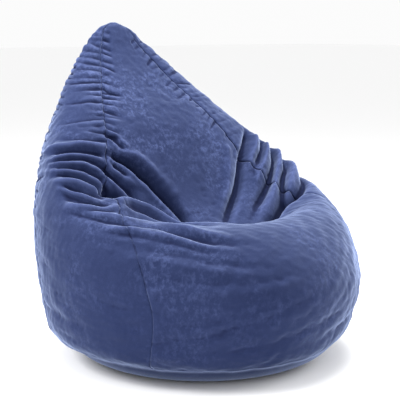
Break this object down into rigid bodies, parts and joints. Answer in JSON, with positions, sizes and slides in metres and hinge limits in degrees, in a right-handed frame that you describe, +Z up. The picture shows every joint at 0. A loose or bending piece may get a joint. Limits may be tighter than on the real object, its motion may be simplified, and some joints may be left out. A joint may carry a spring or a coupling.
{
  "type": "bean bag chair",
  "caption": "Teardrop bean bag chair with a raised backrest, a hollowed seat, a round base, a zipped cover of sewn gores and a zipped inner liner of loose beads.",
  "frame": {"origin": "on the floor, in the middle of the flat resting patch's width and under the middle of the seat", "axes": "+Z up, -Y the way the sitter faces, +X to the sitter's left"},
  "size_m": [0.944, 0.9319, 0.9426],
  "materials": {
    "cover_fabric": "short velvety microsuede, dusty blue",
    "base_fabric": "the same blue microsuede, worn flatter",
    "liner_fabric": "plain pale grey woven liner",
    "cover_zip_tape": "woven tape",
    "cover_zip_coil": "satin nylon coil",
    "liner_zip_tape": "woven tape",
    "liner_zip_coil": "satin nylon coil",
    "zip_stop_metal": "bent steel clamp",
    "zip_metal": "dark enamelled die casting",
    "bead_fill": "loose expanded polystyrene beads"
  },
  "bodies": {
    "bag": {"cover_seat_panel": "cover_fabric", "cover_side_panel_left": "cover_fabric", "cover_side_panel_right": "cover_fabric", "cover_back_panel_left": "cover_fabric", "cover_back_panel_right": "cover_fabric", "cover_base_panel": "base_fabric", "liner_seat_panel": "liner_fabric", "liner_side_panel_left": "liner_fabric", "liner_side_panel_right": "liner_fabric", "liner_back_panel_left": "liner_fabric", "liner_back_panel_right": "liner_fabric", "liner_base_panel": "liner_fabric", "cover_zip_tape_left": "cover_zip_tape", "cover_zip_tape_right": "cover_zip_tape", "cover_zip_coil_left": "cover_zip_coil", "cover_zip_coil_right": "cover_zip_coil", "cover_zip_low_stop": "zip_stop_metal", "cover_zip_high_stops": "zip_stop_metal", "liner_zip_tape_left": "liner_zip_tape", "liner_zip_tape_right": "liner_zip_tape", "liner_zip_coil_left": "liner_zip_coil", "liner_zip_coil_right": "liner_zip_coil", "liner_zip_low_stop": "zip_stop_metal", "liner_zip_high_stops": "zip_stop_metal", "bead_fill": "bead_fill"},
    "cover_slider": {"cover_zip_slider": "zip_metal"},
    "cover_pull": {"cover_zip_pull_tab": "zip_metal"},
    "liner_slider": {"liner_zip_slider": "zip_metal"}
  },
  "joints": [
    {"name": "cover_zip", "type": "hinge", "parent": "bag", "child": "cover_slider", "pos_m": [0, -1.042, 0.48], "axis": [1, 0, 0], "range_deg": [0, 11.6]},
    {"name": "cover_pull_swing", "type": "hinge", "parent": "cover_slider", "child": "cover_pull", "pos_m": [0, 0.45006, 0.28271], "axis": [1, 0, 0], "range_deg": [-10, 150]},
    {"name": "liner_zip", "type": "hinge", "parent": "bag", "child": "liner_slider", "pos_m": [0, -1.042, 0.48], "axis": [1, 0, 0], "range_deg": [0, 11.6]}
  ]
}
